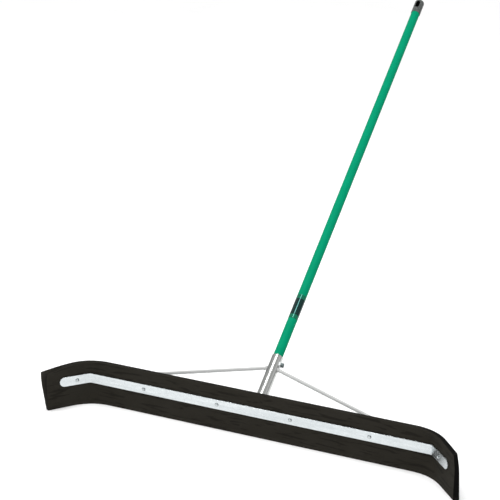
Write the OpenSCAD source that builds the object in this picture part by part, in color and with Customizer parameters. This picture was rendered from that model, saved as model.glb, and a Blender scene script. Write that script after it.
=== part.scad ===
// Curved floor squeegee: a rubber blade clamped between two bent steel strips, carried by
// a braced steel socket that holds a long tubular handle.
// The origin is the middle of the blade's floor edge. X runs along the blade, the wings
// point to -Y, the handle leaves to +Y and Z is up. All sizes are in millimetres.

/* [Blade] */
// Distance between the corners where the blade's front face bends
blade_span = 765; // [500:1:1000]
// Length of a blade wing, from the bend corner to its end
blade_wing = 100.5; // [80:0.5:140]
// Angle that each wing turns forward
wing_angle = 47.5; // [20:0.5:60]
// Height of the rubber
blade_height = 101; // [80:1:130]
// Thickness of the rubber
blade_thick = 9.5; // [6:0.5:14]

/* [Clamp strips] */
// Height of the strips
strip_height = 22; // [18:1:32]
// Thickness of the strips
strip_thick = 3; // [2:0.5:5]
// Length of a strip wing, from the bend corner to its round tip
strip_wing = 68; // [50:1:78]
// Height of the strips' centre line above the floor edge
strip_level = 60; // [45:1:70]
// Radius of the bend on the front face of the front strip
bend_radius = 6; // [3:0.5:12]

/* [Blade bolts] */
// Diameter of the bolts
bolt_d = 5; // [4:0.5:8]
// Diameter of the domed bolt heads
bolt_head_d = 8.5; // [7.5:0.5:14]
// Height of the domed bolt heads
bolt_head_h = 3; // [2:0.5:3.5]
// Distance of the inner bolts from the middle
inner_bolt_x = 82; // [60:1:120]
// Distance of the outer bolts from the middle
outer_bolt_x = 252.5; // [170:0.5:260]
// Distance of a wing bolt from the bend corner
wing_bolt = 29.5; // [20:0.5:38]
// Gap around a bolt in the strips and the rubber
bolt_gap = 0.25; // [0.1:0.05:0.6]
// Diameter of the washers
washer_d = 11; // [9:0.5:16]
// Thickness of the washers
washer_thick = 1; // [0.5:0.1:2]
// Width of the nuts across their flats
nut_flats = 8; // [7:0.5:13]
// Height of the nuts
nut_h = 4; // [3:0.5:7]
// Length of bolt that shows past a nut
bolt_tail = 1.5; // [0.5:0.5:5]

/* [Socket] */
// Angle of the socket and handle above the floor
socket_angle = 31; // [20:0.5:50]
// Height at which the handle's axis meets the back of the rear strip
socket_level = 54.5; // [50:0.5:66]
// Distance from the rear strip to the socket's rim, along the axis
socket_len = 137.5; // [125:0.5:200]
// Wall of the socket tube
socket_wall = 1.5; // [1:0.1:3]
// Gap between the handle and the socket's bore, on the radius
socket_gap = 0.3; // [0.2:0.05:0.6]
// Rim of the foot plate on each side of the socket
foot_side = 11; // [4:0.5:25]
// Rim of the foot plate above and below the socket
foot_rim = 3.5; // [1:0.5:8]
// Thickness of the foot plate
foot_thick = 3; // [2:0.5:6]

/* [Brace rods] */
// Diameter of the rods
rod_d = 7.5; // [4:0.5:8]
// Distance of the rods' upper ends from the rear strip, along the socket
rod_top = 106; // [70:1:110]
// Distance from the middle of the blade to where the rods' axes meet the rear strip
rod_reach = 345; // [285:1:355]
// Height at which the rods' axes meet the rear strip
rod_level = 64; // [58:0.5:66]
// Leg of the weld around each rod's upper end
weld_leg = 2; // [1:0.5:2]

/* [Clamp screw] */
// Distance of the screw from the rear strip, along the socket
screw_at = 119; // [117:0.5:125]
// Diameter of the screw
screw_d = 6; // [5:0.5:8]
// Width of the screw's head across its flats
screw_flats = 10; // [9:0.5:14]
// Height of the screw's head
screw_head_h = 5.5; // [3:0.5:7]
// Width of the welded nut across its flats
boss_flats = 12; // [11:0.5:12.5]
// Height of the welded nut above the socket
boss_h = 2; // [1.5:0.5:8]
// Running gap of the screw in its nut, on the radius
screw_gap = 0.08; // [0.03:0.01:0.1]

/* [Handle] */
// Diameter of the handle tube
handle_d = 21; // [16:0.5:30]
// Wall of the handle tube
handle_wall = 1.2; // [0.8:0.1:2.5]
// Length of the handle tube
handle_len = 1168; // [600:1:1800]
// Distance of the tube's lower end from the rear strip, along the axis
handle_start = 28; // [24:1:60]
// Distance of the label's lower edge from the rear strip, along the axis
label_at = 234; // [200:1:500]
// Length of the label
label_len = 63; // [30:1:120]
// Thickness of the label
label_thick = 0.25; // [0.15:0.05:0.5]

/* [End cap] */
// Wall of the cap around the tube
cap_wall = 1.2; // [0.6:0.1:3]
// Length of the cap's head
cap_len = 45; // [40:1:70]
// Length of tube that the head covers
cap_cover = 8; // [6:1:10]
// Length of the spigot inside the tube
cap_spigot = 25; // [10:1:50]
// Radius of the cap's round end
cap_round = 8; // [3:0.5:8]
// Width of the hanging slot
slot_width = 10; // [6:0.5:12]
// Length of the hanging slot
slot_len = 22; // [12:0.5:24]
// Distance of the slot's middle from the cap's end
slot_from_end = 20; // [18:0.5:21]

/* [Hidden] */
$fn = 64;
// Gap left between two welded or pressed pieces
seat_gap = 0.05;
// Gap left in front of the screw's tip and under its head
screw_clear = 0.3;
// Oversize that lets a cut run clean through a wall
cut = 1;
// Reach of a cut that clears everything on one side of a plane
far = 400;
// Flats that follow a bend of the blade and its strips
bend_steps = 16;
// How much more than half the strip's height its tip radius is
tip_ease = 0.4;

// Stack of the clamped layers, measured from the centre of the bends
strip_front = bend_radius;
rubber_front = strip_front + strip_thick;
rubber_back = rubber_front + blade_thick;
strip_back = rubber_back + strip_thick;
washer_back = strip_back + washer_thick;
nut_back = washer_back + nut_h;
bolt_end = nut_back + bolt_tail;

// Centre of the right bend, which the three layers share
bend_y = -blade_thick / 2 - rubber_front;
bend_x = blade_span / 2 - rubber_front * tan(wing_angle / 2);
// Distances along a wing, measured from the end of its bend
blade_end = blade_wing - rubber_front * tan(wing_angle / 2);
strip_end = strip_wing - strip_front * tan(wing_angle / 2);
wing_bolt_x = wing_bolt - strip_front * tan(wing_angle / 2);

// Where the socket starts, and the sizes of its tube
rear_y = bend_y + strip_back;
socket_bore = handle_d / 2 + socket_gap;
socket_r = socket_bore + socket_wall;
handle_end = handle_start + handle_len;
cap_r = handle_d / 2 + cap_wall;
cap_base = handle_end - cap_cover;
cap_tip = cap_base + cap_len;

// Ends of the right brace rod
rod_r = rod_d / 2;
rod_root = [socket_bore, rear_y + rod_top * cos(socket_angle), socket_level + rod_top * sin(socket_angle)];
rod_seat = [rod_reach, rear_y, rod_level];

// Clamp screw, measured from the socket's axis
boss_face = socket_r + boss_h;
screw_seat = boss_face + screw_clear;
screw_tip = handle_d / 2 + screw_clear;

// Names of the bolt stations from left to right, and the fasteners at each
stations = ["left_wing", "left_outer", "left_inner", "right_inner", "right_outer", "right_wing"];

// Puts its children at the end of the right bend, with X along the wing and Y outwards.
module on_right_wing() {
    translate([bend_x, bend_y, 0]) rotate([0, 0, -wing_angle]) children();
}

// Puts its children on a bolt's axis, with Y from the centre of the bends outwards.
module at_station(name) {
    if (name == "left_wing") mirror([1, 0, 0]) at_station("right_wing") children();
    else if (name == "right_wing") on_right_wing() translate([wing_bolt_x, 0, strip_level]) children();
    else {
        side = name == "left_outer" || name == "left_inner" ? -1 : 1;
        reach = name == "left_outer" || name == "right_outer" ? outer_bolt_x : inner_bolt_x;
        translate([side * reach, bend_y, strip_level]) children();
    }
}

// A round bar along Y between two distances from the centre of the bends
module bar_y(from, to, radius, sides = $fn) {
    translate([0, from, 0]) rotate([-90, 0, 0]) cylinder(h = to - from, r = radius, $fn = sides);
}

// Plan of one face of a layer on the right: around the bend, then straight to the wing's end
function right_plan(radius, wing) = concat(
    [for (i = [0 : bend_steps]) let (a = wing_angle * i / bend_steps) bend_point(radius, a)],
    [bend_point(radius, wing_angle) + wing * [cos(wing_angle), -sin(wing_angle)]]
);
function bend_point(radius, angle) = [bend_x, bend_y] + radius * [sin(angle), cos(angle)];
function reversed(points) = [for (i = [len(points) - 1 : -1 : 0]) points[i]];
function mirrored(points) = [for (p = points) [-p.x, p.y]];

// A bent layer: a straight middle, two round bends and two straight wings
module bent_layer(inner, outer, wing, low, high) {
    front = right_plan(inner, wing);
    back = right_plan(outer, wing);
    translate([0, 0, low]) linear_extrude(high - low)
        polygon(concat(reversed(mirrored(front)), front, reversed(back), mirrored(back)));
}

// The six bolt holes, from one distance to another
module bolt_holes(from, to) {
    for (s = stations) at_station(s) bar_y(from, to, bolt_d / 2 + bolt_gap);
}

// A bent flat bar with round tips
module bent_strip(inner, outer) {
    tip_r = strip_height / 2 + tip_ease;
    difference() {
        bent_layer(inner, outer, strip_end, strip_level - strip_height / 2, strip_level + strip_height / 2);
        bolt_holes(inner - cut, outer + cut);
        for (side = [0, 1]) mirror([side, 0, 0])
            on_right_wing() translate([strip_end - tip_r, 0, strip_level]) difference() {
                translate([0, inner - cut, -strip_height])
                    cube([strip_height, outer - inner + 2 * cut, 2 * strip_height]);
                bar_y(inner - 2 * cut, outer + 2 * cut, tip_r);
            }
    }
}

// Puts its children on the handle's axis, with Z along the handle and -Y on its upper side.
module along_handle(distance = 0) {
    translate([0, rear_y, socket_level]) rotate([socket_angle - 90, 0, 0])
        translate([0, 0, distance]) children();
}

// A round bar between two points
module bar_between(p, q, radius) {
    v = q - p;
    translate(p) rotate([0, acos(v.z / norm(v)), atan2(v.y, v.x)]) cylinder(h = norm(v), r = radius);
}

module rubber_blade() {
    color([0.16, 0.16, 0.15]) difference() {
        bent_layer(rubber_front, rubber_back, blade_end, 0, blade_height);
        bolt_holes(rubber_front - cut, rubber_back + cut);
    }
}

module front_strip() {
    color([0.86, 0.89, 0.89]) bent_strip(strip_front, rubber_front);
}

module back_strip() {
    color([0.86, 0.89, 0.89]) bent_strip(rubber_back, strip_back);
}

// A bolt with a domed head on the front strip
module blade_bolt() {
    dome_r = (pow(bolt_head_d / 2, 2) + pow(bolt_head_h, 2)) / (2 * bolt_head_h);
    color([0.80, 0.83, 0.83]) union() {
        intersection() {
            translate([0, strip_front - bolt_head_h + dome_r, 0]) sphere(r = dome_r);
            bar_y(strip_front - bolt_head_h, strip_front, bolt_head_d / 2);
        }
        bar_y(strip_front, bolt_end, bolt_d / 2);
    }
}

module blade_washer() {
    color([0.75, 0.77, 0.77]) difference() {
        bar_y(strip_back, washer_back, washer_d / 2);
        bar_y(strip_back - cut, washer_back + cut, bolt_d / 2 + bolt_gap);
    }
}

module blade_nut() {
    color([0.72, 0.74, 0.74]) difference() {
        bar_y(washer_back, nut_back, nut_flats / sqrt(3), 6);
        bar_y(washer_back - cut, nut_back + cut, bolt_d / 2 + seat_gap);
    }
}

// Plate welded to the rear strip, centred on the socket's slanted end
module socket_foot() {
    half_width = socket_r + foot_side;
    half_height = socket_r / cos(socket_angle) + foot_rim;
    middle = socket_level + foot_thick * tan(socket_angle);
    color([0.70, 0.72, 0.72])
        translate([-half_width, rear_y, middle - half_height])
            cube([2 * half_width, foot_thick, 2 * half_height]);
}

// Tube cut square to the foot plate, with a hole for the clamp screw
module socket_tube() {
    color([0.66, 0.67, 0.66]) difference() {
        along_handle() cylinder(h = socket_len, r = socket_r);
        along_handle(-cut) cylinder(h = socket_len + 2 * cut, r = socket_bore);
        translate([-far / 2, rear_y + foot_thick - far, -far / 2]) cube([far, far, far]);
        along_handle(screw_at) rotate([0, 90, 0]) cylinder(h = 2 * socket_r, r = screw_d / 2 + bolt_gap);
    }
}

// Rod with its lower end ground flat against the rear strip, and a weld around its upper end
module brace_rod() {
    run = rod_seat - rod_root;
    slant = rod_r * norm(run) / abs(run.y);
    unit = run / norm(run);
    color([0.76, 0.77, 0.77]) difference() {
        union() {
            bar_between(rod_root, rod_seat + unit * (slant + cut), rod_r);
            bar_between(rod_root, rod_root + unit * (socket_wall + 2 * weld_leg), rod_r + weld_leg);
        }
        along_handle(-cut) cylinder(h = socket_len + 2 * cut, r = socket_r + seat_gap);
        translate([0, rear_y - far, 0]) cube([2 * far, far, far]);
    }
}

module brace_rod_left() {
    mirror([1, 0, 0]) brace_rod();
}

module brace_rod_right() {
    brace_rod();
}

// Nut welded to the right side of the socket
module clamp_nut() {
    color([0.78, 0.81, 0.81]) difference() {
        along_handle(screw_at) rotate([0, 90, 0]) cylinder(h = boss_face, r = boss_flats / sqrt(3), $fn = 6);
        along_handle() cylinder(h = socket_len, r = socket_r + seat_gap);
        along_handle(screw_at) rotate([0, 90, 0]) cylinder(h = boss_face + cut, r = screw_d / 2 + screw_gap);
    }
}

// Hexagon screw whose tip bears on the handle
module clamp_screw() {
    color([0.35, 0.40, 0.40]) along_handle(screw_at) rotate([0, 90, 0]) union() {
        translate([0, 0, screw_tip]) cylinder(h = screw_seat - screw_tip, r = screw_d / 2);
        translate([0, 0, screw_seat]) cylinder(h = screw_head_h, r = screw_flats / sqrt(3), $fn = 6);
    }
}

module handle_tube() {
    color([0.03, 0.60, 0.44]) along_handle(handle_start) difference() {
        cylinder(h = handle_len, r = handle_d / 2);
        translate([0, 0, -cut]) cylinder(h = handle_len + 2 * cut, r = handle_d / 2 - handle_wall);
    }
}

// Outline of the cap's head: a straight side and a round end
module cap_outline() {
    square([cap_r, cap_len - cap_round]);
    square([cap_r - cap_round, cap_len]);
    translate([cap_r - cap_round, cap_len - cap_round]) intersection() {
        circle(r = cap_round);
        square(cap_round);
    }
}

// Plastic cap: a skirt over the tube, a spigot inside it and a slot to hang it by
module handle_cap() {
    spigot_r = handle_d / 2 - handle_wall - seat_gap;
    slot_side = slot_len - slot_width;
    color([0.20, 0.21, 0.20]) difference() {
        // its seam is on the left, away from the clamp screw
        along_handle(cap_base) rotate(180) rotate_extrude() cap_outline();
        along_handle(cap_base - cut) difference() {
            cylinder(h = cap_cover + seat_gap + cut, r = handle_d / 2 + seat_gap);
            translate([0, 0, -cut]) cylinder(h = cap_cover + seat_gap + 3 * cut, r = spigot_r);
        }
        along_handle(cap_tip - slot_from_end) {
            for (end = [-1, 1]) translate([0, -2 * cap_r, end * slot_side / 2])
                bar_y(0, 4 * cap_r, slot_width / 2);
            translate([-slot_width / 2, -2 * cap_r, -slot_side / 2]) cube([slot_width, 4 * cap_r, slot_side]);
        }
    }
    color([0.20, 0.21, 0.20])
        along_handle(handle_end - cap_spigot) cylinder(h = cap_spigot - cap_cover, r = spigot_r);
}

module label_band() {
    label_r = handle_d / 2 + seat_gap;
    color([0.05, 0.06, 0.06]) along_handle(label_at) difference() {
        cylinder(h = label_len, r = label_r + label_thick);
        translate([0, 0, -cut]) cylinder(h = label_len + 2 * cut, r = label_r);
    }
}

rubber_blade();
front_strip();
back_strip();
for (s = stations) {
    at_station(s) blade_bolt();
    at_station(s) blade_washer();
    at_station(s) blade_nut();
}
socket_foot();
socket_tube();
brace_rod_left();
brace_rod_right();
clamp_nut();
clamp_screw();
handle_tube();
handle_cap();
label_band();
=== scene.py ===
import bpy
import bmesh
from math import atan2, cos, hypot, pi, radians, sin, sqrt, tan
from mathutils import Matrix, Vector, noise


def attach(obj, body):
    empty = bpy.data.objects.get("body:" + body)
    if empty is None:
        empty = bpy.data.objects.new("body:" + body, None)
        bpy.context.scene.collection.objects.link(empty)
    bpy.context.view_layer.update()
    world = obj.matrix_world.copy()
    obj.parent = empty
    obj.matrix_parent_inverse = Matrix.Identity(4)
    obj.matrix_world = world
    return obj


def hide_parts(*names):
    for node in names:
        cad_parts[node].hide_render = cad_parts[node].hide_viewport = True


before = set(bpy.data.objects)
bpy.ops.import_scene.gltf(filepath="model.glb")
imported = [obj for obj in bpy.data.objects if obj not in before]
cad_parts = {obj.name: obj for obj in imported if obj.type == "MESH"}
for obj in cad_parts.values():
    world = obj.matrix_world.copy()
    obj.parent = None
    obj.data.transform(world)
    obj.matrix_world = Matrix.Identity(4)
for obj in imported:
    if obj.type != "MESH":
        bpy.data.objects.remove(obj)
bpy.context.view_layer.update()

scene = bpy.context.scene

# lines that every piece is laid out on, in metres
layout = {
    "corner": 0.3825,  # middle of the blade to the bend corner, on the rubber's front face
    "frontY": -0.00475,  # front face of the rubber
    "turn": radians(47.5),  # how far a wing turns forward
    "bend": 0.009,  # bend radius on the rubber's front face
    "boltLevel": 0.060,
    "rearY": 0.00775,  # back of the rear strip
    "axisLevel": 0.0545,  # where the handle's axis meets the rear strip
    "slope": radians(31),  # the handle above the floor
}
bendRun = layout["bend"] * tan(layout["turn"] / 2)
axisFoot = Vector((0, layout["rearY"], layout["axisLevel"]))
axisWay = Vector((0, cos(layout["slope"]), sin(layout["slope"])))
handlePlace = Matrix.Translation(axisFoot) @ Matrix.Rotation(layout["slope"] - pi / 2, 4, "X")

roundSteps = 96  # steps round a tube
same = 1e-6  # closer than this is the same place
weldGap = 1e-7


def pick(size, *names):
    return [size[name] for name in names]


# camera

camera = {
    "place": (1.0155, -2.38175, 1.50374),
    "down": 22.727,
    "swing": 23.291,
    "lens": 102.787,
    "sensor": 36,
}


def makeCamera():
    data = bpy.data.cameras.new("photoCamera")
    data.lens = camera["lens"]
    data.sensor_width = camera["sensor"]
    eye = bpy.data.objects.new("photoCamera", data)
    eye.location = camera["place"]
    eye.rotation_euler = (radians(90 - camera["down"]), 0, radians(camera["swing"]))
    scene.collection.objects.link(eye)
    scene.camera = eye


# node helpers


def setInputs(tree, node, values):
    for name, value in values.items():
        if isinstance(value, bpy.types.NodeSocket):
            tree.links.new(value, node.inputs[name])
        else:
            node.inputs[name].default_value = value


def addNode(tree, kind, values=None, **settings):
    node = tree.nodes.new(kind)
    for name, value in settings.items():
        setattr(node, name, value)
    setInputs(tree, node, values or {})
    return node


def mixColours(tree, mask, first, second):
    values = {0: mask, 6: first, 7: second}
    return addNode(tree, "ShaderNodeMix", values, data_type="RGBA").outputs[2]


def spread(tree, value, fromLow, fromHigh, toLow, toHigh):
    values = {0: value, 1: fromLow, 2: fromHigh, 3: toLow, 4: toHigh}
    return addNode(tree, "ShaderNodeMapRange", values).outputs[0]


def calc(tree, operation, *values):
    return addNode(tree, "ShaderNodeMath", dict(enumerate(values)), operation=operation).outputs[0]


def times(tree, first, second):
    return calc(tree, "MULTIPLY", first, second)


def objectCoords(tree):
    return addNode(tree, "ShaderNodeTexCoord").outputs["Object"]


def dotProduct(tree, first, second):
    values = {0: first, 1: second}
    return addNode(tree, "ShaderNodeVectorMath", values, operation="DOT_PRODUCT").outputs["Value"]


def attribute(tree, name):
    return addNode(tree, "ShaderNodeAttribute", attribute_name=name).outputs["Fac"]


def partAlong(tree, axis, vector):
    return addNode(tree, "ShaderNodeSeparateXYZ", {0: vector}).outputs[axis]


def trueNormal(tree):
    return addNode(tree, "ShaderNodeNewGeometry").outputs["Normal"]


def noiseValue(tree, **values):
    return addNode(tree, "ShaderNodeTexNoise", values).outputs[0]


def bumpFrom(tree, height, strength, distance):
    values = {"Height": height, "Strength": strength, "Distance": distance}
    return addNode(tree, "ShaderNodeBump", values).outputs[0]


def newGroup(name, inputs):
    group = bpy.data.node_groups.new(name, "ShaderNodeTree")
    for label, value in inputs.items():
        socket = group.interface.new_socket(label, in_out="INPUT", socket_type="NodeSocketFloat")
        socket.default_value = value
    group.interface.new_socket("Mask", in_out="OUTPUT", socket_type="NodeSocketFloat")
    given = addNode(group, "NodeGroupInput").outputs
    return group, given, addNode(group, "NodeGroupOutput").inputs["Mask"]


# stretched noise, for grain, streaks and mottle
def makeGrainGroup():
    inputs = {"Scale X": 100, "Scale Y": 100, "Scale Z": 100, "Detail": 4, "Low": 0.35, "High": 0.65}
    group, given, out = newGroup("surfaceGrain", inputs)
    scale = addNode(group, "ShaderNodeCombineXYZ", {k: given[k] for k in range(3)}).outputs[0]
    values = {0: objectCoords(group), 1: scale}
    place = addNode(group, "ShaderNodeVectorMath", values, operation="MULTIPLY").outputs[0]
    grain = noiseValue(group, Vector=place, Scale=1, Detail=given["Detail"], Roughness=0.6)
    group.links.new(spread(group, grain, given["Low"], given["High"], 0, 1), out)
    return group


edgeWear = {
    "samples": 4,
    "edge": (0.995, 0.86),  # from none to full, as the rounded normal leaves the true one
    "patch": {"Scale": 260, "Detail": 3},
    "broken": (0.38, 0.62, 0.15, 1),
}


# rubbed edges: where a rounded normal leaves the true one, broken up by noise
def makeWearGroup():
    look = edgeWear
    group, given, out = newGroup("edgeWear", {"Width": 0.0008, "Amount": 1})
    radius = {"Radius": given["Width"]}
    rounded = addNode(group, "ShaderNodeBevel", radius, samples=look["samples"]).outputs[0]
    edge = spread(group, dotProduct(group, rounded, trueNormal(group)), *look["edge"], 0, 1)
    patch = noiseValue(group, Vector=objectCoords(group), **look["patch"])
    broken = spread(group, patch, *look["broken"])
    group.links.new(times(group, times(group, edge, broken), given["Amount"]), out)
    return group


floorDust = {
    "patch": {"Scale": 70, "Detail": 5, "Roughness": 0.65},
    "cloud": (0.4, 0.68),
}


# dust that the floor leaves low on a piece
def makeDustGroup():
    look = floorDust
    group, given, out = newGroup("floorDust", {"Reach": 0.03, "Amount": 0.5})
    coords = objectCoords(group)
    values = {0: partAlong(group, "Z", coords), 1: 0, 2: given["Reach"], 3: 1, 4: 0}
    low = addNode(group, "ShaderNodeMapRange", values, interpolation_type="SMOOTHSTEP").outputs[0]
    patch = noiseValue(group, Vector=coords, **look["patch"])
    cloud = spread(group, patch, *look["cloud"], 0, 1)
    group.links.new(times(group, times(group, low, cloud), given["Amount"]), out)
    return group


grainGroup, wearGroup, dustGroup = makeGrainGroup(), makeWearGroup(), makeDustGroup()


def groupMask(tree, group, values):
    return addNode(tree, "ShaderNodeGroup", values, node_tree=group).outputs[0]


def grainMask(tree, scale, low, high, detail):
    values = {"Scale X": scale[0], "Scale Y": scale[1], "Scale Z": scale[2]}
    return groupMask(tree, grainGroup, {**values, "Detail": detail, "Low": low, "High": high})


def wearMask(tree, width, amount):
    return groupMask(tree, wearGroup, {"Width": width, "Amount": amount})


def dustMask(tree, reach, amount):
    return groupMask(tree, dustGroup, {"Reach": reach, "Amount": amount})


def newFinish(name):
    finish = bpy.data.materials.new(name)
    finish.use_nodes = True
    return finish, finish.node_tree, finish.node_tree.nodes["Principled BSDF"]


# finishes: a grain is its scale along X, Y and Z, its low and high end, and its detail

rubberLook = {
    "base": (0.0175, 0.0157, 0.0120, 1),
    "bloom": (0.024, 0.022, 0.018, 1),
    "dash": (0.0118, 0.0106, 0.0082, 1),
    # dark cut rubber with painted shade, for the cut ends and the top face
    "cut": (0.0016, 0.0013, 0.0012, 1),
    "worn": (0.050, 0.043, 0.034, 1),
    "dust": (0.090, 0.084, 0.074, 1),
    "rows": (19, 150, 1),  # scale of the moulding marks, along and across the blade
    "waves": {"Detail": 2, "Distortion": 0.8},
    "dashes": (0.56, 0.62),
    "dashDepth": -0.6,
    "fineDepth": 0.5,
    "bloomShare": 0.5,
    "cloudGrain": ((14, 14, 30), 0.3, 0.7, 3),
    "fineGrain": ((900, 900, 900), 0.3, 0.7, 2),
    "wear": (0.0012, 0.35),
    "dustReach": (0.012, 0.15),
    "rough": (0.58, 0.74),
    "bump": (0.25, 0.0004),
    "refraction": 1.13,
}


def makeRubberFinish():
    look = rubberLook
    finish, tree, shader = newFinish("mouldedRubber")
    flat = addNode(tree, "ShaderNodeUVMap", uv_map="surface").outputs[0]
    rows = addNode(tree, "ShaderNodeMapping", {"Vector": flat, "Scale": look["rows"]}).outputs[0]
    waves = noiseValue(tree, Vector=rows, Scale=1, **look["waves"])
    dashes = spread(tree, waves, *look["dashes"], 0, 1)
    cloud = grainMask(tree, *look["cloudGrain"])
    fine = grainMask(tree, *look["fineGrain"])
    body = mixColours(tree, times(tree, cloud, look["bloomShare"]), look["base"], look["bloom"])
    body = mixColours(tree, dashes, body, look["dash"])
    # cut ends and top face: cut-rubber colour and painted shade
    body = mixColours(tree, attribute(tree, "cutAndShadeMask"), body, look["cut"])
    body = mixColours(tree, wearMask(tree, *look["wear"]), body, look["worn"])
    body = mixColours(tree, dustMask(tree, *look["dustReach"]), body, look["dust"])
    marks, grain = times(tree, dashes, look["dashDepth"]), times(tree, fine, look["fineDepth"])
    height = calc(tree, "ADD", marks, grain)
    setInputs(tree, shader, {
        "Base Color": body,
        "Roughness": spread(tree, fine, 0, 1, *look["rough"]),
        "IOR": look["refraction"],
        "Normal": bumpFrom(tree, height, *look["bump"]),
    })
    return finish


# all zinc and steel, with what each piece has of its own below
zincShared = {
    "spangle": 170,
    "mottle": (0.32, 0.68, 4),
    "mottleShare": 0.7,
    "flakeShare": 0.3,
    "fine": (0.3, 0.7, 2),
    "fineTimes": 8,  # how much finer than the mottle
    "upFacing": (-0.3, 0.6),
    "sideFacing": (0.57, 0.80),
    "wear": (0.0007, 0.5),
    "dust": (0.30, 0.28, 0.25, 1),
    "dustReach": (0.09, 0.05),
    "bump": (0.10, 0.0002),
}

zincLooks = {
    "stripZinc": {
        "light": (0.63, 0.665, 0.675, 1),
        "dark": (0.49, 0.525, 0.54, 1),
        "rough": (0.20, 0.32),
        "stretch": (10, 40, 120),
        "metal": 1.0,
    },
    "socketZinc": {
        "light": (0.295, 0.30, 0.29, 1),
        "dark": (0.215, 0.22, 0.215, 1),
        "rough": (0.16, 0.26),
        "stretch": (160, 30, 40),
        "metal": 1.0,
        # painted light: a paler colour for the socket's side that faces the clamp screw
        "paintedSideLight": (0.47, 0.478, 0.467, 1),
    },
    "rodZinc": {
        "light": (0.90, 0.91, 0.90, 1),
        "dark": (0.80, 0.81, 0.80, 1),
        "rough": (0.36, 0.50),
        "stretch": (20, 180, 180),
        "metal": 0.2,
        # painted shade: a darker colour for upward faces
        "upper": (0.36, 0.365, 0.36, 1),
    },
    "fastenerZinc": {
        "light": (0.60, 0.64, 0.65, 1),
        "dark": (0.42, 0.455, 0.465, 1),
        "rough": (0.18, 0.28),
        "stretch": (160, 160, 160),
        "metal": 1.0,
        # painted shade round the foot of the bolt heads
        "grime": (0.13, 0.145, 0.15, 1),
    },
    "bossZinc": {
        "light": (0.84, 0.86, 0.86, 1),
        "dark": (0.74, 0.76, 0.76, 1),
        "rough": (0.30, 0.42),
        "stretch": (160, 160, 160),
        "metal": 0.3,
        # painted shade: a darker colour for upward faces
        "upper": (0.50, 0.52, 0.52, 1),
    },
    "screwSteel": {
        "light": (0.125, 0.152, 0.155, 1),
        "dark": (0.080, 0.100, 0.102, 1),
        "rough": (0.48, 0.62),
        "stretch": (240, 240, 240),
        "metal": 0.5,
    },
}


def makeZincFinish(name):
    look = {**zincShared, **zincLooks[name]}
    finish, tree, shader = newFinish(name)
    mottle = grainMask(tree, look["stretch"], *look["mottle"])
    fine = grainMask(tree, [look["fineTimes"] * s for s in look["stretch"]], *look["fine"])
    values = {"Vector": objectCoords(tree), "Scale": look["spangle"]}
    spangle = addNode(tree, "ShaderNodeTexVoronoi", values).outputs["Color"]
    flake = addNode(tree, "ShaderNodeSeparateColor", {0: spangle}).outputs[0]
    clouds, flakes = times(tree, mottle, look["mottleShare"]), times(tree, flake, look["flakeShare"])
    tone = calc(tree, "ADD", clouds, flakes)
    body = mixColours(tree, tone, look["dark"], look["light"])
    body = mixColours(tree, wearMask(tree, *look["wear"]), body, look["light"])
    if "upper" in look:  # painted shade: darker on upward faces
        facing = partAlong(tree, "Z", trueNormal(tree))
        body = mixColours(tree, spread(tree, facing, *look["upFacing"], 0, 1), body, look["upper"])
    if "paintedSideLight" in look:  # painted light: paler on the side that faces +X, where the clamp screw is
        facing = partAlong(tree, "X", trueNormal(tree))
        body = mixColours(tree, spread(tree, facing, *look["sideFacing"], 0, 1), body, look["paintedSideLight"])
    if "grime" in look:  # painted shade: a dark ring round the foot of a domed head
        body = mixColours(tree, attribute(tree, "grimeRim"), body, look["grime"])
    body = mixColours(tree, dustMask(tree, *look["dustReach"]), body, look["dust"])
    setInputs(tree, shader, {
        "Base Color": body,
        "Metallic": look["metal"],
        "Roughness": spread(tree, fine, 0, 1, *look["rough"]),
        "Normal": bumpFrom(tree, fine, *look["bump"]),
    })
    return finish


coatLook = {
    "base": (0.0006, 0.223, 0.114, 1),
    "deep": (0.0005, 0.195, 0.099, 1),
    "scuff": (0.016, 0.290, 0.170, 1),
    "bare": (0.36, 0.40, 0.38, 1),
    "cloudGrain": ((18, 18, 18), 0.3, 0.7, 3),
    "peelGrain": ((420, 420, 420), 0.3, 0.7, 2),
    "scuffGrain": ((300, 24, 24), 0.66, 0.74, 5),
    "scuffShare": 0.10,
    "wear": (0.0006, 0.35),
    "rough": (0.40, 0.50),
    "bump": (0.06, 0.0002),
    "refraction": 1.08,
}


def makeCoatFinish():
    look = coatLook
    finish, tree, shader = newFinish("greenCoat")
    cloud = grainMask(tree, *look["cloudGrain"])
    peel = grainMask(tree, *look["peelGrain"])
    scuff = grainMask(tree, *look["scuffGrain"])
    body = mixColours(tree, cloud, look["base"], look["deep"])
    body = mixColours(tree, times(tree, scuff, look["scuffShare"]), body, look["scuff"])
    body = mixColours(tree, wearMask(tree, *look["wear"]), body, look["bare"])
    setInputs(tree, shader, {
        "Base Color": body,
        "Roughness": spread(tree, peel, 0, 1, *look["rough"]),
        "IOR": look["refraction"],
        "Normal": bumpFrom(tree, peel, *look["bump"]),
    })
    return finish


capShared = {
    "fineGrain": ((1100, 1100, 1100), 0.32, 0.68, 2),
    "cloudGrain": ((210, 210, 210), 0.38, 0.66, 4),
    "wear": (0.0009, 0.6),
    "bump": (0.15, 0.0002),
}

capLooks = {
    "mouldedCap": {
        "base": (0.016, 0.019, 0.018, 1),
        "pale": (0.066, 0.076, 0.072, 1),
        "worn": (0.20, 0.20, 0.20, 1),
        "rough": (0.22, 0.36),
        "refraction": 1.5,
    },
    "slotShade": {
        "base": (0.0015, 0.0016, 0.0016, 1),
        "pale": (0.004, 0.0042, 0.0042, 1),
        "worn": (0.02, 0.02, 0.02, 1),
        "rough": (0.5, 0.6),
        "refraction": 1.06,
    },
}


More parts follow.
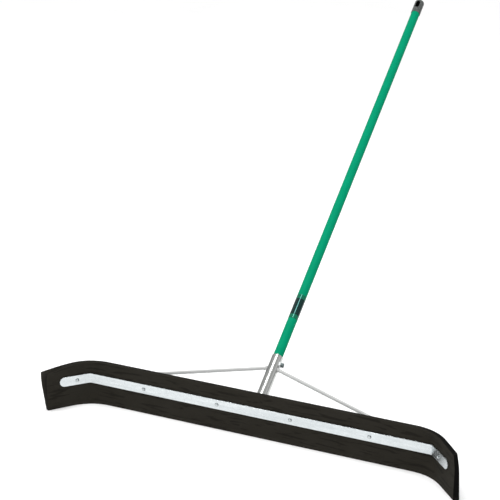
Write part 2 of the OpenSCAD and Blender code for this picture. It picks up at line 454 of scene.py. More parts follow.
def makeCapFinish(name):
    look = {**capShared, **capLooks[name]}
    finish, tree, shader = newFinish(name)
    fine = grainMask(tree, *look["fineGrain"])
    cloud = grainMask(tree, *look["cloudGrain"])
    body = mixColours(tree, cloud, look["base"], look["pale"])
    body = mixColours(tree, wearMask(tree, *look["wear"]), body, look["worn"])
    setInputs(tree, shader, {
        "Base Color": body,
        "Roughness": spread(tree, fine, 0, 1, *look["rough"]),
        "IOR": look["refraction"],
        "Normal": bumpFrom(tree, fine, *look["bump"]),
    })
    return finish


labelLook = {
    "film": (0.0006, 0.0050, 0.0044, 1),
    "rub": (0.0030, 0.0095, 0.0085, 1),
    "margin": (0.0002, 0.092, 0.044, 1),
    "worn": (0.05, 0.05, 0.05, 1),
    "dark": (0.0205, 0.0217),  # the black ends between these distances from the middle
    "rubGrain": ((260, 40, 40), 0.55, 0.75, 4),
    "rubShare": 0.6,
    "wear": (0.0004, 0.4),
    "rough": (0.03, 0.07),
    "tint": (0.35, 1.0, 0.93, 1),
    "refraction": 1.4,
}


def makeLabelFinish():
    look = labelLook
    finish, tree, shader = newFinish("bareFilm")
    rub = grainMask(tree, *look["rubGrain"])
    body = mixColours(tree, times(tree, rub, look["rubShare"]), look["film"], look["rub"])
    upHandle = handlePlace.to_3x3() @ Vector((0, 0, 1))
    middle = (labelBand["from"] + labelBand["to"]) / 2 + handlePlace.translation.dot(upHandle)
    away = calc(tree, "SUBTRACT", dotProduct(tree, objectCoords(tree), upHandle), middle)
    margin = spread(tree, calc(tree, "ABSOLUTE", away), *look["dark"], 0, 1)
    body = mixColours(tree, margin, body, look["margin"])
    body = mixColours(tree, wearMask(tree, *look["wear"]), body, look["worn"])
    setInputs(tree, shader, {
        "Base Color": body,
        "Roughness": spread(tree, rub, 0, 1, *look["rough"]),
        "IOR": look["refraction"],
        "Specular Tint": look["tint"],
    })
    return finish


# mesh helpers


def allOf(bm):
    return bm.verts[:] + bm.edges[:] + bm.faces[:]


def openEdges(bm):
    return [e for e in bm.edges if e.is_boundary]


def makeBoard(bm, low, high):
    bmesh.ops.create_cube(bm, size=1)
    bmesh.ops.translate(bm, verts=bm.verts, vec=(0.5, 0.5, 0.5))
    bmesh.ops.scale(bm, verts=bm.verts, vec=[b - a for a, b in zip(low, high)])
    bmesh.ops.translate(bm, verts=bm.verts, vec=low)


# a board to the right of the middle, open there for its mirror image
def makeHalfBoard(bm, low, high):
    makeBoard(bm, low, high)
    middle = [f for f in bm.faces if f.calc_center_median().x < same]
    bmesh.ops.delete(bm, geom=middle, context="FACES_ONLY")


def mirrorAcross(bm):
    bmesh.ops.mirror(bm, geom=allOf(bm), axis="X", merge_dist=same)


def stepsOf(step, count):
    return [step * i for i in range(1, count + 1)]


def sliceAcross(bm, axis, places):
    normal = [float(k == axis) for k in range(3)]
    for place in places:
        spot = [place * n for n in normal]
        bmesh.ops.bisect_plane(bm, geom=allOf(bm), dist=weldGap, plane_co=spot, plane_no=normal)


# keeps what is behind a wall that faces the back
def cutAtWall(bm, wallY):
    spot, normal = (0, wallY, 0), (0, 1, 0)
    bmesh.ops.bisect_plane(
        bm, geom=allOf(bm), dist=weldGap, plane_co=spot, plane_no=normal, clear_inner=True
    )


squareFrom = 60  # a square edge turns more than this many degrees


def hardEdges(bm, least):
    return [e for e in bm.edges if len(e.link_faces) == 2 and e.calc_face_angle(0) > radians(least)]


def softenEdges(bm, edges, width, segments=2):
    bmesh.ops.bevel(
        bm, geom=edges, offset=width, offset_type="OFFSET", segments=segments, profile=0.5,
        affect="EDGES", clamp_overlap=True, material=-1,
    )


def spinProfile(bm, points, steps, closed=False):
    verts = [bm.verts.new((r, 0, h)) for r, h in points]
    edges = [bm.edges.new(pair) for pair in zip(verts, verts[1:])]
    if closed:
        edges.append(bm.edges.new((verts[-1], verts[0])))
    bmesh.ops.spin(
        bm, geom=verts + edges, cent=(0, 0, 0), axis=(0, 0, 1), angle=2 * pi, steps=steps, use_merge=True
    )
    bmesh.ops.remove_doubles(bm, verts=bm.verts, dist=weldGap)


def arcPoints(centre, radius, start, end, count):
    angles = [radians(start + (end - start) * i / count) for i in range(count + 1)]
    return [(centre[0] + radius * sin(a), centre[1] + radius * cos(a)) for a in angles]


# a loop round Z whose radius and level follow its angle
def addLoop(bm, steps, shape):
    verts = bmesh.ops.create_circle(bm, cap_ends=False, segments=steps, radius=1)["verts"]
    for vert in verts:
        angle = atan2(vert.co.y, vert.co.x)
        radius, level = shape(angle)
        vert.co = (radius * cos(angle), radius * sin(angle), level)
    return list({e for v in verts for e in v.link_edges})


def joinLoops(bm, loops):
    for first, second in zip(loops, loops[1:]):
        bmesh.ops.bridge_loops(bm, edges=first + second)


# hexagons: their reach at an angle, and how far a corner is chamfered below the crown
hexSteps = 48
chamfer = tan(radians(30))


def hexReach(angle, apothem):
    return apothem / cos((angle % (pi / 3)) - pi / 6)


def cornerDrop(angle, apothem, crown):
    return (hexReach(angle, apothem) - crown) * chamfer


def smoothStep(t):
    t = min(max(t, 0), 1)
    return t * t * (3 - 2 * t)


# edges that turn more than this many degrees stay crisp
crispFrom = {"board": 50, "tube": 50, "welded": 40, "cap": 40, "round": 32, "hexagon": 24}


def finishPiece(name, bm, body, nodes, finish, sharp):
    bmesh.ops.remove_doubles(bm, verts=bm.verts, dist=weldGap)
    bmesh.ops.recalc_face_normals(bm, faces=bm.faces)
    for face in bm.faces:
        face.smooth = True
    for edge in hardEdges(bm, sharp):
        edge.smooth = False
    mesh = bpy.data.meshes.new(name)
    bm.to_mesh(mesh)
    bm.free()
    mesh.materials.append(finishes[finish])
    piece = bpy.data.objects.new(name, mesh)
    scene.collection.objects.link(piece)
    shade = piece.modifiers.new("evenShade", "WEIGHTED_NORMAL")
    shade.keep_sharp = True
    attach(piece, body)
    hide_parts(*nodes)
    return piece


# blade

rubberBlade = {
    "end": 0.4802,  # bend corner plus the wing
    "thick": 0.0095,
    "height": 0.101,
    "grip": (0.049, 0.071),  # the strips hold the bend tight between these levels
    "leanFrom": 0.066,  # the free top leans forward above this level
    "leanCurve": 1.2,
    "rim": 0.0007,
    # each end: how wide its free edges bend, how far its top corner leans, how much longer
    # its back is at the floor and at the top, and what is trimmed off
    "ends": {
        -1: {"looseBend": 0.100, "lean": 0.0153, "slant": (0.0019, 0.0137), "trim": 0},
        1: {"looseBend": 0.086, "lean": 0.0043, "slant": (0.0099, -0.0015), "trim": 0.0039},
    },
    # where it is sliced so that it can bend: round the corner, along the blade, up its height
    "cornerStep": 0.0005,
    "cornerSteps": 8,
    "cornerGaps": [0.0055, 0.0075, 0.010, 0.013, 0.016, 0.020, 0.024, 0.028, 0.032, 0.037],
    "alongStep": 0.04,
    "alongSteps": 8,
    "wingFrom": 0.426,
    "wingStep": 0.006,
    "wingSteps": 9,
    "levels": [
        0.005, 0.010, 0.016, 0.022, 0.028, 0.034, 0.040, 0.045, 0.049,
        0.060, 0.071, 0.075, 0.079, 0.083, 0.088, 0.092, 0.097,
    ],
    "endFade": 3,  # the left end gets the cut colour with painted shade for one part in this of its thickness, from the front
    # the top face has painted shade, darker towards the right: its least amount, and where that starts and
    # ends
    "topShade": 0.35,
    "shadeFrom": 0.05,
    "shadeRun": 0.08,
}


# plan of the blade: u runs along the front face, depth goes back from it
def onPlan(u, depth, radius):
    corner, turn, front = layout["corner"], layout["turn"], layout["frontY"]
    run = radius * tan(turn / 2)
    if u <= corner - run:
        angle, x, y = 0, u, front
    elif u < corner + run:
        angle = turn * (u - corner + run) / (2 * run)
        x = corner - run + radius * sin(angle)
        y = front - radius + radius * cos(angle)
    else:
        angle = turn
        x = corner + (u - corner) * cos(turn)
        y = front - (u - corner) * sin(turn)
    return x + depth * sin(angle), y + depth * cos(angle)


def bentRubber(u, depth, z):
    size = rubberBlade
    side = -1 if u < 0 else 1
    own, top, start, curve = size["ends"][side], size["height"], size["leanFrom"], size["leanCurve"]
    low, high = size["grip"]
    away = max((low - z) / low, (z - high) / (top - high), 0)
    radius = layout["bend"] + (own["looseBend"] - layout["bend"]) * smoothStep(away)
    wing = max(0, abs(u) - layout["corner"]) / (size["end"] - layout["corner"])
    slant = own["slant"][0] + (own["slant"][1] - own["slant"][0]) * z / top
    reach = abs(u) + wing * (slant * depth / size["thick"] - own["trim"])
    free = max(0, z - start) / (top - start)
    most = own["lean"] * wing ** curve
    lean = most * free ** curve
    tilt = atan2(most * curve * free ** (curve - 1), top - start)
    x, y = onPlan(reach, depth * cos(tilt) - lean, radius)
    return side * x, y, z + depth * sin(tilt) - lean * lean / (curve * (top - start))


# how dark the cut ends and the top face are: cut rubber with painted shade on the ends, painted shade on
# the top face
def cutAndShadeAt(u, depth, z):
    size = rubberBlade
    if abs(u) > size["end"] - same:
        return 1 if u > 0 else max(0, 1 - size["endFade"] * depth / size["thick"])
    if z > size["height"] - same:
        along = (u - layout["corner"] + size["shadeFrom"]) / size["shadeRun"]
        return size["topShade"] + (1 - size["topShade"]) * smoothStep(along)
    return 0


def makeRubberBlade():
    size, corner = rubberBlade, layout["corner"]
    bm = bmesh.new()
    makeHalfBoard(bm, (0, 0, 0), (size["end"], size["thick"], size["height"]))
    softenEdges(bm, hardEdges(bm, squareFrom), size["rim"])
    gaps = stepsOf(size["cornerStep"], size["cornerSteps"]) + size["cornerGaps"]
    sliceAcross(bm, 0, [corner + s * gap for gap in gaps for s in (-1, 1)] + [corner])
    sliceAcross(bm, 0, stepsOf(size["alongStep"], size["alongSteps"]))
    sliceAcross(bm, 0, [size["wingFrom"] + size["wingStep"] * i for i in range(size["wingSteps"])])
    sliceAcross(bm, 2, size["levels"])
    mirrorAcross(bm)
    bmesh.ops.recalc_face_normals(bm, faces=bm.faces)
    flat = bm.loops.layers.uv.new("surface")
    for face in bm.faces:
        for loop in face.loops:
            u, depth, z = loop.vert.co
            loop[flat].uv = (u + depth, z) if abs(face.normal.z) < 0.5 else (u, z + depth)
    cutAndShadeLayer = bm.verts.layers.float.new("cutAndShadeMask")
    for vert in bm.verts:
        vert[cutAndShadeLayer] = cutAndShadeAt(*vert.co)
        vert.co = bentRubber(*vert.co)
    finishPiece("rubberBlade", bm, "head", ["rubber_blade"], "mouldedRubber", crispFrom["board"])


clampStrips = {
    "frontStrip": {"node": "front_strip", "depth": (-0.003, 0.0)},
    "backStrip": {"node": "back_strip", "depth": (0.0095, 0.0125)},
    "reach": 0.06536,  # straight wing after the bend
    "level": (0.049, 0.071),
    "tip": 0.0108,  # tip radius
    "tipSteps": 14,
    "rise": tan(radians(2)),  # the wings climb a little
    "rim": 0.0004,
    "cornerStep": 0.0005,
    "cornerSteps": 8,
    "alongStep": 0.06,
    "alongSteps": 6,
}


def makeStrip(name):
    size, own, corner = clampStrips, clampStrips[name], layout["corner"]
    end = corner + bendRun + size["reach"]
    front, back = own["depth"]
    low, high = size["level"]
    bm = bmesh.new()
    makeHalfBoard(bm, (0, front, low), (end, back, high))
    farEdges = [e for e in bm.edges if min(v.co.x for v in e.verts) > end - same]
    tips = [e for e in farEdges if abs(e.verts[0].co.z - e.verts[1].co.z) < same]
    softenEdges(bm, tips, size["tip"], size["tipSteps"])
    softenEdges(bm, hardEdges(bm, squareFrom), size["rim"])
    most = size["cornerSteps"]
    sliceAcross(bm, 0, [corner + size["cornerStep"] * i for i in range(-most, most + 1)])
    sliceAcross(bm, 0, stepsOf(size["alongStep"], size["alongSteps"]))
    for vert in bm.verts:
        u, depth, z = vert.co
        vert.co = (*onPlan(u, depth, layout["bend"]), z + size["rise"] * max(0, u - corner))
    mirrorAcross(bm)
    finishPiece(name, bm, "head", [own["node"]], "stripZinc", crispFrom["board"])


# blade bolts, washers and nuts: local Z runs back from the centre of the bends

bladeBolts = {
    "stations": ["left_wing", "left_outer", "left_inner", "right_inner", "right_outer", "right_wing"],
    "innerX": 0.082,
    "outerX": 0.2525,
    "wingX": 0.02686,  # measured from the end of the bend
    "headR": 0.00425,
    "headTop": 0.003,
    "headFoot": 0.006,
    "domeTurn": 66.4,  # degrees of the dome from its top to its rim
    "domeSteps": 12,
    "headLip": 0.0002,
    "headEase": 0.0001,
    "shankR": 0.0025,
    "threadFrom": 0.0215,
    "threadDepth": 0.00035,
    "pitch": 0.0008,
    "tail": 0.028,
    "tailEase": 0.0005,
    "steps": 40,
    # painted shade round the head, heavier on one side: where it starts and how wide it is, as shares of
    # the head's radius
    "grimeFrom": 0.55,
    "grimeRun": 0.35,
    "grimeMean": 0.55,
    "grimeSwing": 0.32,
    "washer": {"inner": 0.00275, "outer": 0.0055, "low": 0.0215, "high": 0.0225, "ease": 0.00015},
    "nut": {"apothem": 0.004, "bore": 0.00255, "low": 0.0225, "high": 0.0265, "ease": 0.0003},
    "crown": 0.97,
}


def stationPlace(station):
    size = bladeBolts
    side = -1 if station.startswith("left") else 1
    back = Matrix.Rotation(-pi / 2, 4, "X")
    centreY = layout["frontY"] - layout["bend"]
    if station.endswith("wing"):
        level = layout["boltLevel"] + clampStrips["rise"] * (size["wingX"] + bendRun)
        bend = Matrix.Translation((side * (layout["corner"] - bendRun), centreY, level))
        turn = Matrix.Rotation(-side * layout["turn"], 4, "Z")
        return bend @ turn @ Matrix.Translation((side * size["wingX"], 0, 0)) @ back
    reach = size["outerX"] if station.endswith("outer") else size["innerX"]
    return Matrix.Translation((side * reach, centreY, layout["boltLevel"])) @ back


def camelName(kind, station):
    return kind + "".join(word.capitalize() for word in station.split("_"))


def finishFastener(kind, station, bm, form):
    bm.transform(stationPlace(station))
    name, node = camelName(kind, station), kind + "_" + station
    finishPiece(name, bm, "head", [node], "fastenerZinc", crispFrom[form])


def makeBolt(station):
    size = bladeBolts
    headR, top, foot, shank = size["headR"], size["headTop"], size["headFoot"], size["shankR"]
    domeR = (headR ** 2 + (foot - top) ** 2) / (2 * (foot - top))
    arc = arcPoints((0, top + domeR), domeR, 0, size["domeTurn"], size["domeSteps"])
    points = [(r, 2 * (top + domeR) - h) for r, h in arc]
    points += [(headR, foot - size["headLip"]), (headR - size["headEase"], foot), (shank, foot)]
    level = size["threadFrom"]
    while level < size["tail"] - size["pitch"]:
        points += [(shank, level), (shank - size["threadDepth"], level + size["pitch"] / 2)]
        level += size["pitch"]
    points += [(shank, level), (shank - size["tailEase"], size["tail"]), (0, size["tail"])]
    bm = bmesh.new()
    spinProfile(bm, points, size["steps"])
    # painted shade: a dark ring at the foot of the dome, darker towards one side
    grime = bm.verts.layers.float.new("grimeRim")
    for vert in bm.verts:
        far = vert.co.xy.length
        if vert.co.z < foot + same:
            shadeAmount = size["grimeMean"] + size["grimeSwing"] * (vert.co.x - vert.co.y) / max(far, same)
            vert[grime] = shadeAmount * smoothStep((far / headR - size["grimeFrom"]) / size["grimeRun"])
    finishFastener("bolt", station, bm, "round")


def makeWasher(station):
    size = bladeBolts["washer"]
    inner, outer, low, high, ease = pick(size, "inner", "outer", "low", "high", "ease")
    bm = bmesh.new()
    rim = [(outer - ease, low), (outer, low + ease), (outer, high - 2 * ease), (outer - 2 * ease, high)]
    hole = [(inner + ease, high), (inner, high - ease)]
    spinProfile(bm, [(inner, low), *rim, *hole], hexSteps, closed=True)
    finishFastener("washer", station, bm, "round")


def makeNut(station):
    size = bladeBolts["nut"]
    apothem, bore, low, high, ease = pick(size, "apothem", "bore", "low", "high", "ease")
    crown = bladeBolts["crown"] * apothem
    shapes = [
        lambda a: (bore + ease, low),
        lambda a: (crown, low),
        lambda a: (hexReach(a, apothem), low + cornerDrop(a, apothem, crown)),
        lambda a: (hexReach(a, apothem), high - cornerDrop(a, apothem, crown)),
        lambda a: (crown, high),
        lambda a: (bore + ease, high),
        lambda a: (bore, high - ease),
        lambda a: (bore, low + ease),
    ]
    bm = bmesh.new()
    loops = [addLoop(bm, hexSteps, shape) for shape in shapes]
    joinLoops(bm, loops + loops[:1])
    finishFastener("nut", station, bm, "hexagon")


# socket, its foot and the welds

socket = {
    "bore": 0.0108,
    "outer": 0.0123,
    "start": -0.02,  # before it is cut at the foot
    "rim": 0.1375,
    "ease": 0.0004,
    "footY": 0.01075,
    "bead": 0.0017,
    "beadOut": 0.0006,
    "beadSeed": 3.0,
    "foot": {
        "low": (-0.0233, 0.00775, 0.03845),
        "high": (0.0233, 0.01075, 0.07415),
        "corner": 0.004,
        "cornerSteps": 8,
        "rim": 0.0004,
    },
}

weldBead = {"sides": 8, "swell": 0.9, "lumps": 0.35, "lumpScale": 3, "ripple": 0.10, "ripples": 40}


# an uneven value round a weld, from -1 to 1
def lumpAt(angle, scale, seed):
    return noise.noise(Vector((scale * cos(angle), scale * sin(angle), seed)))


# a weld bead round an ellipse that lies against a wall facing +Y
def addBead(bm, centre, along, acrossR, alongR, thick, seed):
    size = weldBead
    angles = [2 * pi * k / size["sides"] for k in range(size["sides"])]
    made = bmesh.new()
    section = [(1 + thick * sin(a), thick * cos(a)) for a in angles]
    spinProfile(made, section, roundSteps, closed=True)
    across = Vector((0, 1, 0)).cross(along)
    for vert in made.verts:
        angle = atan2(vert.co.y, vert.co.x)
        out, up = hypot(vert.co.x, vert.co.y) - 1, vert.co.z
        lump = lumpAt(angle, size["lumpScale"], seed)
        swell = size["swell"] + size["lumps"] * lump + size["ripple"] * sin(size["ripples"] * angle)
        ring = along * (alongR * cos(angle)) + across * (acrossR * sin(angle))
        vert.co = Vector(centre) + ring + ring.normalized() * (out * swell) + Vector((0, up * swell, 0))
    bmesh.ops.recalc_face_normals(made, faces=made.faces)
    kept = bpy.data.meshes.new("bead")
    made.to_mesh(kept)
    made.free()
    bm.from_mesh(kept)
    bpy.data.meshes.remove(kept)


def makeSocketTube():
    size = socket
    inner, outer, start, rim, ease = pick(size, "bore", "outer", "start", "rim", "ease")
    mouth = [(outer, rim - ease), (outer - ease, rim), (inner + ease, rim), (inner, rim - ease)]
    bm = bmesh.new()
    spinProfile(bm, [(inner, start), (outer, start), *mouth], roundSteps, closed=True)
    bm.transform(handlePlace)
    cutAtWall(bm, size["footY"])
    bmesh.ops.bridge_loops(bm, edges=openEdges(bm))
    level = layout["axisLevel"] + (size["footY"] - layout["rearY"]) * tan(layout["slope"])
    wide = outer + size["beadOut"]
    long = wide / cos(layout["slope"])
    centre, up = (0, size["footY"], level), Vector((0, 0, 1))
    addBead(bm, centre, up, wide, long, size["bead"], size["beadSeed"])
    finishPiece("socketTube", bm, "head", ["socket_tube"], "socketZinc", crispFrom["welded"])


def makeSocketFoot():
    size = socket["foot"]
    bm = bmesh.new()
    makeBoard(bm, size["low"], size["high"])
    corners = [e for e in bm.edges if abs(e.verts[0].co.y - e.verts[1].co.y) > same]
    softenEdges(bm, corners, size["corner"], size["cornerSteps"])
    softenEdges(bm, hardEdges(bm, squareFrom), size["rim"])
    finishPiece("socketFoot", bm, "head", ["socket_foot"], "socketZinc", crispFrom["board"])


braceRods = {
    "root": (0.0108, 0.09861, 0.10909),
    "seat": (0.345, 0.00775, 0.064),
    "radius": 0.00375,
    "spare": 0.03,  # past the seat, before it is cut there
    "steps": 32,
    "inWall": 0.0120,  # the root lies this far from the handle's axis
    # the weld at the root: radius and distance from the wall
    "weld": [(0.00575, 0), (0.00565, 0.0010), (0.00505, 0.0024), (0.00435, 0.0040), (0.0039, 0.0055)],
    "weldEnd": 0.0061,
    "lumps": 0.14,
    "lumpScale": 520,
    "lumpSeed": 5,
    "bead": 0.0013,
    "beadOut": (0.0008, 0.0012),
    "beadSeed": 7.0,
}


def makeBraceRod(side, name, node):
    size = braceRods
    root, seat, r = Vector(size["root"]), Vector(size["seat"]), size["radius"]
    run = seat - root
    unit = run.normalized()
    toWorld = Matrix.Translation(root) @ run.to_track_quat("Z", "X").to_matrix().to_4x4()
    end = run.length + size["spare"]
    bm = bmesh.new()
    spinProfile(bm, [(0, 0), *size["weld"], (r, size["weldEnd"]), (r, end), (0, end)], size["steps"])
    thick = size["weld"][0][0] - r
    for vert in bm.verts:
        level, far = vert.co.z, hypot(vert.co.x, vert.co.y)
        if far > r + same:  # the weld is uneven
            lump = noise.noise(vert.co * size["lumpScale"] + Vector((side * size["lumpSeed"], 0, 0)))
            vert.co.xy *= 1 + size["lumps"] * lump * (far - r) / thick
        vert.co = toWorld @ vert.co
        if level < same:  # the root follows the socket's wall
            away = vert.co - axisFoot
            away -= axisWay * away.dot(axisWay)
            go = unit - axisWay * unit.dot(axisWay)
            a, b, c = go.dot(go), 2 * away.dot(go), away.dot(away) - size["inWall"] ** 2
            vert.co += unit * ((-b + sqrt(b * b - 4 * a * c)) / (2 * a))
    cutAtWall(bm, seat.y)
    bmesh.ops.edgeloop_fill(bm, edges=openEdges(bm))
    flat = Vector((run.x, 0, run.z)).normalized()
    shallow = abs(run.y) / run.length
    wide, long = r + size["beadOut"][0], r / shallow + size["beadOut"][1]
    addBead(bm, seat, flat, wide, long, size["bead"], size["beadSeed"] + side)
    if side < 0:
        bmesh.ops.scale(bm, verts=bm.verts, vec=(-1, 1, 1))
    finishPiece(name, bm, "head", [node], "rodZinc", crispFrom["welded"])


# clamp nut and screw: local Z runs out to the right of the socket

clamp = {
    "along": 0.119,
    "nut": {
        "apothem": 0.006,
        "bore": 0.00308,
        "wall": 0.0121,  # it sits on the socket's wall at this radius
        "face": 0.0143,
        "crown": 0.97,
        "ease": 0.0003,
        "fillet": (0.0011, 0.0003),  # weld round its foot, and how uneven that is
        "filletMiddle": (0.0005, 0.0009),
        "filletTop": 0.0016,
        "lumpScale": 4,
        "lumpSeed": 1,
    },
    "screw": {
        "radius": 0.003,
        "tip": 0.0108,
        "tipEase": (0.0007, 0.0006),
        "seat": 0.0146,
        "apothem": 0.005,
        "top": 0.0201,
        "crown": 0.96,
        "topEase": (0.0003, 0.0002),
        "seatChamfer": 0.3,  # as a share of the chamfer at the top
        "dish": (0.6, 0.00025),  # share of the crown, and depth
    },
}
clampTurn = Matrix.Rotation(pi / 2, 4, "Y")
clampPlace = handlePlace @ Matrix.Translation((0, 0, clamp["along"])) @ clampTurn


def makeClampNut():
    size = clamp["nut"]
    apothem, bore, wall, face, ease = pick(size, "apothem", "bore", "wall", "face", "ease")
    crown = size["crown"] * apothem
    weld, uneven = size["fillet"]
    out, up = size["filletMiddle"]

    def reach(a):
        return hexReach(a, apothem)

    def fillet(a):
        return reach(a) + weld + uneven * lumpAt(a, size["lumpScale"], size["lumpSeed"])

    def onWall(radius, a):
        return sqrt(max(wall ** 2 - (radius * sin(a)) ** 2, 0))

    shapes = [
        lambda a: (bore, onWall(bore, a)),
        lambda a: (fillet(a), onWall(fillet(a), a)),
        lambda a: (reach(a) + out, onWall(fillet(a), a) + up),
        lambda a: (reach(a), onWall(reach(a), a) + size["filletTop"]),
        lambda a: (reach(a), face - cornerDrop(a, apothem, crown)),
        lambda a: (crown, face),
        lambda a: (bore + ease, face),
        lambda a: (bore, face - ease),
    ]
    bm = bmesh.new()
    loops = [addLoop(bm, hexSteps, shape) for shape in shapes]
    joinLoops(bm, loops + loops[:1])
    bm.transform(clampPlace)
    finishPiece("clampNut", bm, "head", ["clamp_nut"], "bossZinc", crispFrom["hexagon"])


def makeClampScrew():
    size = clamp["screw"]
    r, tip, seat, apothem, top = pick(size, "radius", "tip", "seat", "apothem", "top")
    crown = size["crown"] * apothem
    tipIn, tipUp = size["tipEase"]
    lower, inward = size["topEase"]
    share, dish = size["dish"]
    under = size["seatChamfer"]
    shapes = [
        lambda a: (r - tipIn, tip),
        lambda a: (r, tip + tipUp),
        lambda a: (r, seat),
        lambda a: (crown, seat),
        lambda a: (hexReach(a, apothem), seat + under * cornerDrop(a, apothem, crown)),
        lambda a: (hexReach(a, apothem), top - lower - cornerDrop(a, apothem, crown)),
        lambda a: (crown - inward, top),
        lambda a: (share * crown, top - dish),
    ]
    bm = bmesh.new()
    loops = [addLoop(bm, hexSteps, shape) for shape in shapes]
    joinLoops(bm, loops)
    bmesh.ops.edgeloop_fill(bm, edges=loops[0])
    bmesh.ops.edgeloop_fill(bm, edges=loops[-1])
    bm.transform(clampPlace)
    finishPiece("clampScrew", bm, "screw", ["clamp_screw"], "screwSteel", crispFrom["hexagon"])


# handle, label and cap: local Z runs up the handle

handleTube = {
    "outer": 0.0105,
    "inner": 0.0093,
    "from": 0.028,
    "to": 1.196,
    "ease": 0.0003,
    "rings": 12,
}


def makeHandleTube():
    size = handleTube
    outer, inner, low, high, ease = pick(size, "outer", "inner", "from", "to", "ease")
    foot = [(inner, low + ease), (inner + ease, low), (outer - ease, low), (outer, low + ease)]
    side = [(outer, low + (high - low) * i / size["rings"]) for i in range(1, size["rings"])]
    mouth = [(outer, high - ease), (outer - ease, high), (inner, high)]
    bm = bmesh.new()
    spinProfile(bm, [*foot, *side, *mouth], roundSteps, closed=True)
    bm.transform(handlePlace)
    finishPiece("handleTube", bm, "handle", ["handle_tube"], "greenCoat", crispFrom["tube"])


labelBand = {
    "outer": 0.0108,
    "inner": 0.01055,
    "from": 0.234,
    "to": 0.297,
    "ease": 0.00012,
}


def makeLabelBand():
    size = labelBand
    outer, inner, low, high, ease = pick(size, "outer", "inner", "from", "to", "ease")
    face = [(outer - ease, low), (outer, low + ease), (outer, high - ease), (outer - ease, high)]
    bm = bmesh.new()
    spinProfile(bm, [(inner, low), *face, (inner, high)], roundSteps, closed=True)
    bm.transform(handlePlace)
    finishPiece("labelBand", bm, "handle", ["label_band"], "bareFilm", crispFrom["tube"])


handleCap = {
    "radius": 0.0117,
    "base": 1.188,
    "tip": 1.233,
    "round": 0.008,
    "roundSteps": 10,
    "skirt": 0.01057,  # inside of the skirt
    "floor": 1.1961,  # the tube ends here
    "lip": (0.0005, 0.0006),
    "slot": {
        "wide": 0.010,
        "long": 0.022,
        "middle": 1.213,
        "through": 0.03,
        "steps": 16,
        "flat": 0.00002,  # left straight between its rounded corners
    },
    "rim": 0.0005,
    "rimSteps": 3,
    "rimFrom": 40,  # edges that turn more than this many degrees get a rim
    "wallDepth": 0.004,  # half the depth of the slot's dark walls
    "wallSpare": 1e-4,  # the walls are picked with this much room at their sides
    "floorSpare": 1e-3,  # and this far above the floor
}


def makeCapBlank():
    size = handleCap
    r, base, tip, curve, skirt, floorAt = pick(size, "radius", "base", "tip", "round", "skirt", "floor")
    lipIn, lipUp = size["lip"]
    inside = [(0, floorAt), (skirt, floorAt), (skirt, base)]
    nose = arcPoints((r - curve, tip - curve), curve, 90, 0, size["roundSteps"])
    bm = bmesh.new()
    spinProfile(bm, [*inside, (r - lipIn, base), (r, base + lipUp), *nose, (0, tip)], roundSteps)
    bmesh.ops.recalc_face_normals(bm, faces=bm.faces)
    return bm


def makeSlotCutter():
    size = handleCap["slot"]
    wide, long, middle, through = pick(size, "wide", "long", "middle", "through")
    bm = bmesh.new()
    makeBoard(bm, (-wide / 2, -through, middle - long / 2), (wide / 2, through, middle + long / 2))
    ends = [e for e in bm.edges if abs(e.verts[0].co.y - e.verts[1].co.y) > through]
    softenEdges(bm, ends, wide / 2 - size["flat"], size["steps"])
    return bm


def asObject(name, bm):
    mesh = bpy.data.meshes.new(name)
    bm.to_mesh(mesh)
    bm.free()
    made = bpy.data.objects.new(name, mesh)
    scene.collection.objects.link(made)
    return made


def makeHandleCap():
    size, slot = handleCap, handleCap["slot"]
    blank, cutter = asObject("capBlank", makeCapBlank()), asObject("slotCutter", makeSlotCutter())
    carve = blank.modifiers.new("slot", "BOOLEAN")
    carve.operation = "DIFFERENCE"
    carve.solver = "EXACT"
    carve.object = cutter
    bevel = blank.modifiers.new("rim", "BEVEL")
    bevel.width = size["rim"]
    bevel.segments = size["rimSteps"]
    bevel.limit_method = "ANGLE"
    bevel.angle_limit = radians(size["rimFrom"])
    carved = bpy.data.meshes.new_from_object(blank.evaluated_get(bpy.context.evaluated_depsgraph_get()))
    bpy.data.objects.remove(blank)
    bpy.data.objects.remove(cutter)
    bm = bmesh.new()
    bm.from_mesh(carved)
    halfWide, halfLong = slot["wide"] / 2 + size["wallSpare"], slot["long"] / 2 + size["wallSpare"]
    lowest = size["floor"] + size["floorSpare"]
    for face in bm.faces:  # painted shade: the slot's walls get a dull, near-black finish
        x, y, z = face.calc_center_median()
        inSlot = abs(x) < halfWide and abs(z - slot["middle"]) < halfLong and z > lowest
        face.material_index = int(inSlot and abs(y) < size["wallDepth"])
    bm.transform(handlePlace)
    sharp = crispFrom["cap"]
    piece = finishPiece("handleCap", bm, "handle", ["handle_cap"], "mouldedCap", sharp)
    piece.data.materials.append(finishes["slotShade"])


# stage

stage = {
    "floor": (0.92, 0.92, 0.92, 1),
    "floorCloud": (0.88, 0.88, 0.88, 1),
    "cloudGrain": ((3, 3, 3), 0.3, 0.7, 3),
    "floorRough": 0.9,
    "floorShine": 0.1,
    "floorReach": 20,
    "floorSteps": 8,
    "skyLow": 0.42,
    "skyHigh": 1.16,
    "skyTop": 0.6,
    "lights": {
        "coreStrip": {"energy": 32, "place": (-0.30, -0.1, 2.4), "aim": (0, 0.1, 0.1), "size": (0.30, 1.6)},
        "fillBox": {"energy": 5, "place": (1.1, -1.2, 2.3), "aim": (0.3, -0.2, 0), "size": (1.2, 1.2)},
        "sideBox": {"energy": 12, "place": (-2.6, -1.8, 2.2), "aim": (0, 0.2, 0.2), "size": (1.6, 1.6)},
    },
}


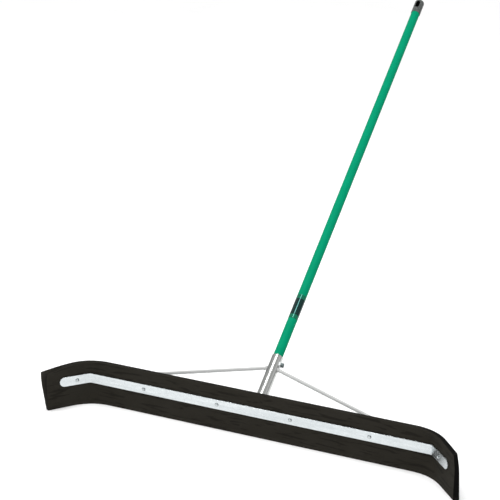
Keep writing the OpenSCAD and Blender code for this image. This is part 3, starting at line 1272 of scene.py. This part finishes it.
def makeFloor():
    bm = bmesh.new()
    steps = stage["floorSteps"]
    bmesh.ops.create_grid(bm, x_segments=steps, y_segments=steps, size=stage["floorReach"])
    ground = asObject("studioFloor", bm)
    finish, tree, shader = newFinish("paleFloor")
    cloud = grainMask(tree, *stage["cloudGrain"])
    setInputs(tree, shader, {
        "Base Color": mixColours(tree, cloud, stage["floor"], stage["floorCloud"]),
        "Roughness": stage["floorRough"],
        "Specular IOR Level": stage["floorShine"],
    })
    ground.data.materials.append(finish)


def makeLight(name):
    own = stage["lights"][name]
    data = bpy.data.lights.new(name, "AREA")
    data.energy = own["energy"]
    data.shape = "RECTANGLE"
    data.size, data.size_y = own["size"]
    lamp = bpy.data.objects.new(name, data)
    lamp.location = own["place"]
    look = Vector(own["aim"]) - Vector(own["place"])
    lamp.rotation_euler = look.to_track_quat("-Z", "Y").to_euler()
    scene.collection.objects.link(lamp)


def makeSky():
    sky = bpy.data.worlds.new("studioSky")
    sky.use_nodes = True
    tree = sky.node_tree
    way = partAlong(tree, "Z", addNode(tree, "ShaderNodeTexCoord").outputs["Generated"])
    setInputs(tree, tree.nodes["Background"], {
        "Color": (1, 1, 1, 1),
        "Strength": spread(tree, way, 0, stage["skyTop"], stage["skyLow"], stage["skyHigh"]),
    })
    scene.world = sky
    scene.view_settings.view_transform = "Standard"


finishes = {name: makeZincFinish(name) for name in zincLooks}
finishes.update({name: makeCapFinish(name) for name in capLooks})
finishes.update(mouldedRubber=makeRubberFinish(), greenCoat=makeCoatFinish(), bareFilm=makeLabelFinish())
print("finishes:", ", ".join(sorted(finishes)))
makeCamera()
makeRubberBlade()
makeStrip("frontStrip")
makeStrip("backStrip")
for station in bladeBolts["stations"]:
    makeBolt(station)
    makeWasher(station)
    makeNut(station)
print("blade: rubber, strips and fasteners")
makeSocketFoot()
makeSocketTube()
makeBraceRod(-1, "braceRodLeft", "brace_rod_left")
makeBraceRod(1, "braceRodRight", "brace_rod_right")
makeClampNut()
makeClampScrew()
print("socket, rods and clamp")
makeHandleTube()
makeLabelBand()
makeHandleCap()
print("handle, label and cap")
makeFloor()
for light in stage["lights"]:
    makeLight(light)
makeSky()
print("stage: floor, lights and sky")
